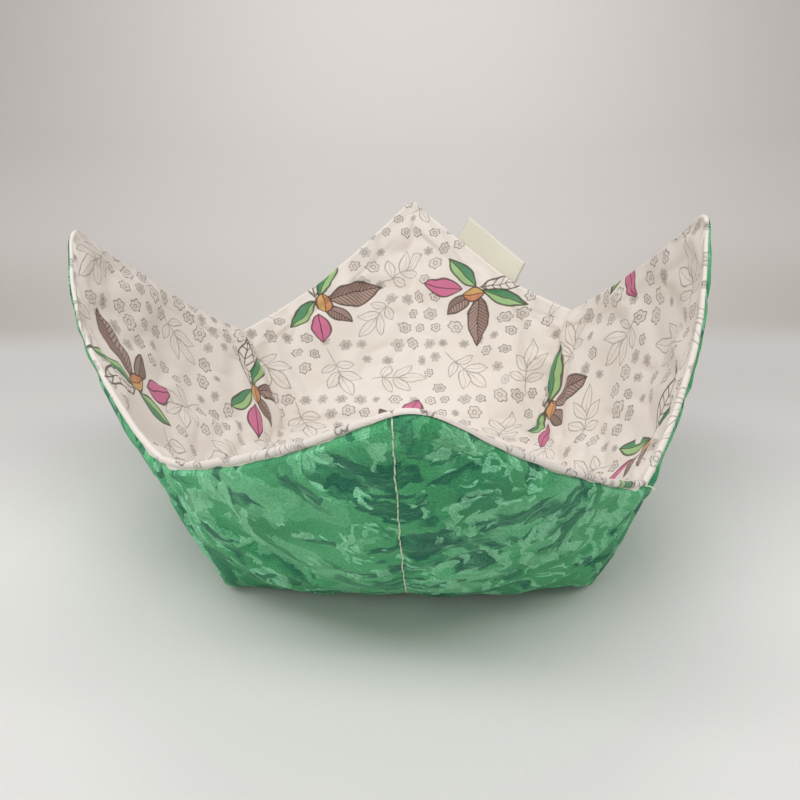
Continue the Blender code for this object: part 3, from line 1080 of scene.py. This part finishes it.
def daisies(daisy):
    """A small flower in outline, some of them filled grey: its line and its fill."""
    radius = reach_of(daisy)
    angle = daisy.v.math("ARCTAN2", daisy.u)
    size = daisy.first * 1.2 + 1.9
    petals = abs((angle * 3.0).sine()) * 0.28 + 0.72
    edge = size * petals - radius
    eye = line(radius - size * 0.30, 0.26)
    outline = line(edge, 0.30) * daisy.second.rise(0.25, 0.35)
    return outline.most(eye * 0.8), fill(edge) * (0.16 + daisy.second.rise(0.6, 0.1) * 0.34)


def lining_cotton():
    """Cream cotton with pencilled fronds and daisies, and the coloured sprigs over them."""
    finish = Finish("lining_cotton", roughness=0.85, sheen=0.1)
    cloth = finish.flat_cloth()
    raw_x, raw_y = finish.parts(cloth)
    x, y = raw_x * MILLIMETRES + PRINT_SHIFT[0], raw_y * MILLIMETRES + PRINT_SHIFT[1]
    wobble = finish.noise(cloth, 60, 2.0)
    bent_x, bent_y = x + (wobble - 0.5) * 7, y + (wobble - 0.5) * -6
    sprigs = (SPRIG_PITCH, SPRIG_STRAY, 2.0)
    fronds = (FROND_PITCH, FROND_STRAY, 6.0)
    sprig = scattered(finish, bent_x, bent_y, *sprigs)
    frond = scattered(finish, bent_x, bent_y, *fronds)
    daisy = scattered(finish, bent_x, bent_y, DAISY_PITCH, DAISY_STRAY, 12.0)

    def far_from_sprig(motif, distance):
        """1 where a whole motif lies clear of the nearest coloured sprig."""
        near = reach_of(scattered(finish, motif.middle_x, motif.middle_y, *sprigs))
        return near.rise(distance, distance + 0.1)

    frond_shows = far_from_sprig(frond, SPRIG_REACH)
    frond_near = scattered(finish, daisy.middle_x, daisy.middle_y, *fronds)
    frond_there = far_from_sprig(frond_near, SPRIG_REACH)
    clear_of_frond = reach_of(frond_near).rise(FROND_REACH, FROND_REACH + 0.1)
    clear_of_sprig = far_from_sprig(daisy, SPRIG_REACH - 6)
    daisy_shows = clear_of_sprig * (1 - frond_there * (1 - clear_of_frond))

    drawn, filled = daisies(daisy)
    ink_run = finish.noise(cloth, 900, 1.0).rise(0.2, 0.6) * 0.5 + 0.5
    colour = finish.mix(filled * daisy_shows, PAPER, PENCIL)
    colour = finish.mix(drawn * daisy_shows * ink_run * 0.85, colour, linear(112, 104, 98))
    colour = finish.mix(pencil_frond(frond) * frond_shows * ink_run * 0.8, colour, PENCIL)
    colour = painted_sprig(finish, colour, sprig)

    threads = weave(finish, x, y, LINING_THREAD_PITCH)
    fuzz = finish.noise(cloth, 700, 2.0)
    cloudy = finish.noise(cloth, 26, 2.0)
    shade = threads * 0.05 + fuzz * 0.05 + cloudy * 0.04 + 0.93
    finish.colour(finish.times(colour, shade))
    finish.bump(threads * 0.6 + fuzz * 0.6, 0.00012)
    return finish


def batting_cotton():
    finish = Finish("batting_cotton", roughness=0.95)
    place = finish.add("ShaderNodeTexCoord", {}, {}, output=3)
    fibres = finish.noise(place, 500, 4.0, 0.7)
    finish.colour(finish.mix(fibres, linear(226, 220, 205), linear(244, 240, 230)))
    finish.bump(fibres, 0.0004)
    return finish


def label_tape():
    finish = Finish("label_tape", roughness=0.62, sheen=0.1)
    x, y = finish.parts(finish.flat_cloth())
    ribs = (y * (2 * math.pi / LABEL_RIB_PITCH)).sine() * 0.5 + 0.5
    ends = (x * (2 * math.pi / LABEL_END_PITCH)).sine() * 0.5 + 0.5
    fuzz = finish.noise(finish.flat_cloth(), 600, 2.0)
    shade = ribs * 0.05 + ends * 0.04 + fuzz * 0.06 + 0.91
    finish.colour(finish.times(linear(233, 230, 212), shade))
    finish.bump(ribs * 0.6 + ends * 0.4, 0.00010)
    return finish


def thread_cotton():
    finish = Finish("thread_cotton", roughness=0.6, sheen=0.1)
    place = finish.add("ShaderNodeTexCoord", {}, {}, output=3)
    twist = finish.noise(place, 2600, 1.0)
    finish.colour(finish.mix(twist, linear(210, 224, 180), linear(240, 246, 220)))
    finish.bump(twist, 0.0001)
    return finish


def green_cover(plain, finish):
    """The outside. Its edge is drawn up to the seam and tucked in there."""
    bm = plain.copy()
    relief = bm.verts.layers.float["cover"]
    rims = rim_frames(bm)
    frames = {rim.below: rim for rim in rims.values()}
    walls = {vert: vert.co.copy() for vert in frames}
    lifts = {vert: vert[relief] for vert in frames}
    shift_along_normals(bm, lambda vert: vert[relief])
    bmesh.ops.delete(bm, geom=list(rims), context="VERTS")

    def course(rim, share):
        travel = -TURNED_EDGE + (rim.seam - SEAM_GAP + TURNED_EDGE) * share
        depth = COVER_TUCK * share**2 - lifts[rim.below] * (1 - share)
        return round_edge(rim, walls[rim.below], travel, depth), travel

    roll_over_rim(bm, frames, COVER_ROLL_STEPS, course)
    bm.normal_update()
    cover = add_piece("green_cover", bm, finish, ["outer_cover"])
    thicken(cover, COVER_THICKNESS, -1)
    return cover


def printed_lining(plain, finish):
    """The inside, which rolls over the rim and down to the seam."""
    bm = plain.copy()
    frames = rim_frames(bm)
    walls = {rim.below: rim.below.co.copy() for rim in frames.values()}
    relief = bm.verts.layers.float["lining"]
    shift_along_normals(bm, lambda vert: -LINING_DEPTH - vert[relief])

    def course(rim, share):
        travel = ROLL_LENGTH + (rim.seam - ROLL_LENGTH) * share
        tuck = LINING_TUCK * smooth(share, 0.80, 1)
        return round_edge(rim, walls[rim.below], travel, LINING_THICKNESS + tuck), travel

    roll_over_rim(bm, frames, LINING_ROLL_STEPS, course)
    bmesh.ops.reverse_faces(bm, faces=bm.faces)
    bm.normal_update()
    lining = add_piece("printed_lining", bm, finish, ["inner_lining"])
    thicken(lining, LINING_THICKNESS, 1)
    return lining


def cotton_batting(plain, finish):
    """The padding fills the space between the two cottons, and follows the relief of both."""
    bm = plain.copy()
    outer, inner = bm.verts.layers.float["cover"], bm.verts.layers.float["lining"]
    normals = {vert: vert.normal.copy() for vert in bm.verts}
    made = bmesh.ops.duplicate(bm, geom=bm.verts[:] + bm.edges[:] + bm.faces[:])
    twins = {vert: made["vert_map"][vert] for vert in normals}
    for vert, twin in twins.items():
        top = BATTING_DEPTH - vert[outer]
        twin.co -= normals[vert] * max(LINING_DEPTH - LAYER_GAP + vert[inner], top + LAYER_GAP / 3)
        vert.co -= normals[vert] * top
    copied = [item for item in made["geom"] if isinstance(item, bmesh.types.BMFace)]
    bmesh.ops.reverse_faces(bm, faces=copied)
    bmesh.ops.bridge_loops(bm, edges=[edge for edge in bm.edges if edge.is_boundary])
    batting = add_piece("cotton_batting", bm, finish, ["batting"])


# The folded tape in the rim seam, on the right of the back petal
LABEL_WIDTH = 0.0365
LABEL_PROJECTION = 0.010
LABEL_ASKEW = 0.16
LABEL_PLY = 0.0003
LABEL_PLY_GAP = 0.0003
LABEL_FROM_TIP = 0.0466
LABEL_COLUMNS = 40
LABEL_ROWS = 10
LABEL_FOLD_STEPS = 8

# Where along it the tape is as high as planned, and how its free edge leans out and waves, in
# metres and in radians a metre
LABEL_LEVEL_SHARE = 0.3
LABEL_LEAN = 0.0005
LABEL_WAVE = 0.0006
LABEL_WAVE_TURN = 140

# The tape's weave
LABEL_RIB_PITCH = 0.00042
LABEL_END_PITCH = 0.00060


def label_section():
    """The folded tape's section: its depth outside the rim and its height, up, over and down."""
    near = LAYER_GAP + LABEL_PLY / 2
    radius = (LABEL_PLY + LABEL_PLY_GAP) / 2
    top = EDGE_ROLL + LABEL_PROJECTION - radius
    rise = [(top + SEAM_DROP) * step / LABEL_ROWS - SEAM_DROP for step in range(LABEL_ROWS)]
    section = [(near, height) for height in rise]
    for step in range(LABEL_FOLD_STEPS + 1):
        angle = math.pi * step / LABEL_FOLD_STEPS
        section.append((near + radius - radius * math.cos(angle), top + radius * math.sin(angle)))
    return section + [(near + 2 * radius, height) for height in reversed(rise)]


def sewn_label(finish):
    """A bare tape, folded over and caught in the rim seam of the back petal."""
    frames = []
    for index in range(LABEL_COLUMNS + 1):
        distance = LABEL_FROM_TIP + LABEL_WIDTH * (index / LABEL_COLUMNS - 0.5)
        column = Column(BACK, BACK_RIGHT, BACK_LEFT, -distance / RIM_LENGTH)
        further = Column(BACK, BACK_RIGHT, BACK_LEFT, -(distance + 0.001) / RIM_LENGTH)
        place = column.wall(column.length)
        tangent = (further.wall(further.length) - place).normalized()
        rise = place - column.wall(column.length - 0.001)
        outward = rise.cross(tangent).normalized()
        upward = tangent.cross(outward).normalized()
        frames.append((place + wander(place, 0), outward, upward, distance))
    section = label_section()
    bm = bmesh.new()
    uv = bm.loops.layers.uv.new("flat")
    made = bmesh.ops.create_grid(bm, x_segments=LABEL_COLUMNS, y_segments=len(section) - 1, size=1)
    flats = {}
    for vert in made["verts"]:
        column = round((vert.co.x + 1) / 2 * LABEL_COLUMNS)
        row = round((vert.co.y + 1) / 2 * (len(section) - 1))
        place, outward, upward, distance = frames[column]
        depth, height = section[row]
        share = max(height / LABEL_PROJECTION, 0)
        height *= 1 + LABEL_ASKEW * (LABEL_LEVEL_SHARE - column / LABEL_COLUMNS)
        wave = LABEL_WAVE * math.sin(distance * LABEL_WAVE_TURN)
        sway = (wave + LABEL_LEAN) * share * share
        vert.co = place + outward * (depth + sway) + upward * height
        flats[vert] = (distance, height)
    for face in bm.faces:
        for loop in face.loops:
            loop[uv].uv = flats[loop.vert]
    bm.normal_update()
    label = add_piece("sewn_label", bm, finish, ["label_tab"])
    thicken(label, LABEL_PLY, 0)


# The quilting thread runs from tip to tip both ways, over the outside
STITCH_PITCH = 0.0029
STITCH_LENGTH = 0.0028
THREAD_RADIUS = 0.00020
STITCH_RINGS = 6
THREAD_SIDES = 6
STITCH_RISE = 0.00028
STITCH_SINK = 0.00006
STITCH_STRAY = 0.00045
QUILTING_STEPS = 200
SEARCH_REACH = 0.01


def add_thread(bm, path, radii):
    """A closed tube along a short path, its radius given at each point."""
    rings = []
    for index, (place, radius) in enumerate(zip(path, radii)):
        ahead = path[min(index + 1, len(path) - 1)] - path[max(index - 1, 0)]
        turn = ahead.to_track_quat("Z", "Y").to_matrix().to_4x4()
        where = Matrix.Translation(place) @ turn
        made = bmesh.ops.create_circle(bm, segments=THREAD_SIDES, radius=radius, matrix=where)
        rings.append(made["verts"])
    for low, high in zip(rings, rings[1:]):
        edges = [edge for vert in low + high for edge in vert.link_edges]
        edges = [edge for edge in set(edges) if len(edge.link_faces) < 1 or edge.is_boundary]
        bmesh.ops.bridge_loops(bm, edges=edges)
    for ring in (rings[0], rings[-1]):
        bmesh.ops.contextual_create(bm, geom=ring)


def quilting_trails(cover):
    """For each petal the places on the cover along its quilting, with the ways out of it."""
    surface = BVHTree.FromObject(cover, bpy.context.evaluated_depsgraph_get())
    for petal in (FRONT, BACK, RIGHT, LEFT):
        column = petal_columns(petal, (0,))[0]
        trail = []
        for step in range(QUILTING_STEPS + 1):
            distance = (column.length - SEAM_GAP) * step / QUILTING_STEPS
            across = QUILTING_SWAY[petal] * step / QUILTING_STEPS
            place = column.wall(distance) + column.side * across
            below, above = column.wall(distance - 0.0005), column.wall(distance + 0.0005)
            outward = column.side.cross((above - below).normalized())
            if outward.dot(column.out) - outward.z < 0:
                outward = -outward
            start = place + outward * SEARCH_REACH
            hit, _, _, _ = surface.ray_cast(start, -outward, 2 * SEARCH_REACH)
            if hit is not None:
                trail.append((hit, outward))
        yield trail


def trail_place(trail, lengths, distance):
    """The place and the way out at a distance along a trail."""
    index = max(i for i, reached in enumerate(lengths[:-1]) if reached <= distance)
    share = (distance - lengths[index]) / (lengths[index + 1] - lengths[index])
    share = min(share, 1)
    first, second = trail[index], trail[index + 1]
    return first[0].lerp(second[0], share), first[1].lerp(second[1], share).normalized()


def quilting_thread(cover, finish):
    """Lockstitches lie on the cover along the quilting, each dipping into the cloth at its ends."""
    bm = bmesh.new()
    for trail in quilting_trails(cover):
        lengths = [0.0]
        for (first, _), (second, _) in zip(trail, trail[1:]):
            lengths.append(lengths[-1] + (second - first).length)
        count = round(lengths[-1] / STITCH_PITCH)
        for number in range(count):
            start = lengths[-1] * number / count
            path, radii = [], []
            for ring in range(STITCH_RINGS + 1):
                share = ring / STITCH_RINGS
                distance = min(start + share * STITCH_LENGTH, lengths[-1])
                place, outward = trail_place(trail, lengths, distance)
                across = Vector((1, 0, 0))
                if abs(outward.z) < 0.95:
                    across = outward.cross(UP).normalized()
                side = noise.noise(Vector((start * 160, share * 0.4, 1.7))) * STITCH_STRAY
                lift = math.sin(math.pi * share) * STITCH_RISE - STITCH_SINK
                path.append(place + outward * lift + across * side)
                radii.append(THREAD_RADIUS * (0.65 + 0.35 * math.sin(math.pi * share)))
            add_thread(bm, path, radii)
    bmesh.ops.recalc_face_normals(bm, faces=bm.faces)
    add_piece("quilting_thread", bm, finish)


# The loose thread: where it starts from the dart's top, how it runs and how it curls
LOOSE_START = Vector((-0.0016, -0.0006, 0.0013))
LOOSE_RUN = Vector((0.0036, -0.0010, -0.0006))
LOOSE_CURL = 0.0004
LOOSE_TURN = 3.4
LOOSE_STEPS = 14


def loose_thread(finish):
    """A short cut end of sewing thread left at the rim, at the front right dart."""
    start = dart_top(FRONT_RIGHT) + LOOSE_START
    path, radii = [], []
    for step in range(LOOSE_STEPS + 1):
        share = step / LOOSE_STEPS
        turn = share * LOOSE_TURN
        curl = Vector((math.cos(turn), 0, math.sin(turn))) * LOOSE_CURL
        path.append(start + LOOSE_RUN * share + curl)
        radii.append(THREAD_RADIUS * 0.8)
    bm = bmesh.new()
    add_thread(bm, path, radii)
    bmesh.ops.recalc_face_normals(bm, faces=bm.faces)
    add_piece("loose_thread", bm, finish)


def cozy():
    noise.seed_set(WANDER_SEED)
    plain = outer_face(1)
    add_settling(plain)
    cover = green_cover(plain, cover_cotton())
    printed_lining(plain, lining_cotton())
    cotton_batting(plain, batting_cotton())
    plain.free()
    sewn_label(label_tape())
    thread_finish = thread_cotton()
    quilting_thread(cover, thread_finish)
    loose_thread(thread_finish)


# The view, as the photograph was taken
VIEW_TARGET = Vector((-0.0028, 0, 0.0396))
VIEW_DISTANCE = 0.312
VIEW_ELEVATION = 23.9
VIEW_ROLL = -0.91
VIEW_TURN = 1.2
FOCAL_SHARE = 900 / 800
SENSOR = 36.0


def add_camera():
    data = bpy.data.cameras.new("view")
    data.sensor_width = SENSOR
    data.lens = SENSOR * FOCAL_SHARE
    data.clip_start = 0.01
    data.clip_end = 20
    camera = bpy.data.objects.new("view", data)
    bpy.context.scene.collection.objects.link(camera)
    elevation = math.radians(VIEW_ELEVATION)
    roll = math.radians(VIEW_ROLL)
    back = Vector((0, -math.cos(elevation), math.sin(elevation)))
    level = Vector((1, 0, 0))
    upright = back.cross(level)
    right = level * math.cos(roll) + upright * math.sin(roll)
    upward = upright * math.cos(roll) - level * math.sin(roll)
    turn = Matrix.Rotation(math.radians(VIEW_TURN), 3, "Z")
    axes = Matrix((turn @ right, turn @ upward, turn @ back)).transposed()
    place = turn @ (VIEW_TARGET + back * VIEW_DISTANCE)
    camera.matrix_world = Matrix.Translation(place) @ axes.to_4x4()
    bpy.context.scene.camera = camera


# The lights are rectangles, in watts: one long one over the front, and weak ones beside and behind
Light = namedtuple("Light", "name place target size power colour")
LIGHTS = (
    Light("overhead", (-0.05, -0.40, 1.15), (0, 0, 0.03), (2.4, 0.35), 13.5, (1.0, 0.99, 0.98)),
    Light("side_fill", (-0.7, -0.8, 0.6), (0, 0, 0.03), (0.6, 0.5), 1.8, (1.0, 0.995, 0.99)),
    Light("wall_light", (0, 1.0, 1.1), (0, 1.3, 0), (0.7, 0.4), 5.5, (1.0, 0.99, 0.98)),
)
ROOM_COLOUR = (232, 232, 234)
ROOM_STRENGTH = 0.44


def add_light(light):
    data = bpy.data.lights.new(light.name, "AREA")
    data.shape = "RECTANGLE"
    data.size, data.size_y = light.size
    data.energy = light.power
    data.color = light.colour
    lamp = bpy.data.objects.new(light.name, data)
    lamp.location = light.place
    ahead = Vector(light.target) - Vector(light.place)
    lamp.rotation_euler = ahead.to_track_quat("-Z", "Y").to_euler()
    bpy.context.scene.collection.objects.link(lamp)


def add_lights():
    for light in LIGHTS:
        add_light(light)
    world = bpy.data.worlds.new("room")
    bpy.context.scene.world = world
    world.use_nodes = True
    background = world.node_tree.nodes["Background"]
    background.inputs["Color"].default_value = linear(*ROOM_COLOUR)
    background.inputs["Strength"].default_value = ROOM_STRENGTH


# The backdrop: a floor that sweeps up behind into a wall
FLOOR_HALF_WIDTH = 2.5
FLOOR_FRONT = -2.0
SWEEP_START = 0.9
SWEEP_RADIUS = 0.6
SWEEP_STEPS = 24
WALL_TOP = 2.5


def shaded_backdrop_paper():
    """Grey white paper with painted shade: darker behind the bowl and towards the sides."""
    finish = Finish("backdrop", roughness=0.75)
    place = finish.add("ShaderNodeTexCoord", {}, {}, output=3)
    grain = finish.noise(place, 900, 2.0)
    near = finish.mix(grain, linear(220, 218, 216), linear(225, 223, 221))
    across, depth = finish.parts(place)
    # Painted shade: how far towards the sides a place lies, where the paper is painted darker
    side_shade = (abs(across) / (depth + 0.35)).rise(0.05, 0.50)
    # Painted shade: the floor is painted darker behind the bowl
    shaded_floor = finish.mix(depth.rise(-0.03, 0.12), near, linear(200, 197, 195))
    # The wall's tones, with painted shade towards the sides
    wall = finish.mix(side_shade, linear(211, 207, 203), linear(195, 190, 186))
    # The floor's tones further back, with deeper painted shade towards the sides
    edge = finish.mix(side_shade, linear(207, 203, 198), linear(179, 174, 168))
    # Painted shade: further back, the floor goes over to those darker tones and then to the wall's
    shaded_floor_behind = finish.mix(depth.rise(0.15, 0.20), shaded_floor, edge)
    finish.colour(finish.mix(depth.rise(0.20, 0.42), shaded_floor_behind, wall))
    return finish


def add_backdrop():
    bm = bmesh.new()
    front = bm.verts.new((-FLOOR_HALF_WIDTH, FLOOR_FRONT, 0))
    back = bm.verts.new((-FLOOR_HALF_WIDTH, SWEEP_START, 0))
    bm.edges.new((front, back))
    made = bmesh.ops.spin(
        bm, geom=[back], cent=(-FLOOR_HALF_WIDTH, SWEEP_START, SWEEP_RADIUS),
        axis=(1, 0, 0), angle=math.pi / 2, steps=SWEEP_STEPS,
    )
    top = bm.verts.new((-FLOOR_HALF_WIDTH, SWEEP_START + SWEEP_RADIUS, WALL_TOP))
    bm.edges.new((made["geom_last"][0], top))
    sheet = bmesh.ops.extrude_edge_only(bm, edges=bm.edges)["geom"]
    moved = [item for item in sheet if isinstance(item, bmesh.types.BMVert)]
    bmesh.ops.translate(bm, verts=moved, vec=(2 * FLOOR_HALF_WIDTH, 0, 0))
    bmesh.ops.recalc_face_normals(bm, faces=bm.faces)
    mesh = bpy.data.meshes.new("backdrop")
    bm.to_mesh(mesh)
    bm.free()
    mesh.shade_smooth()
    mesh.materials.append(shaded_backdrop_paper().material)
    backdrop = bpy.data.objects.new("backdrop", mesh)
    bpy.context.scene.collection.objects.link(backdrop)


cozy()
add_camera()
add_lights()
add_backdrop()
bpy.context.scene.view_settings.view_transform = "Standard"
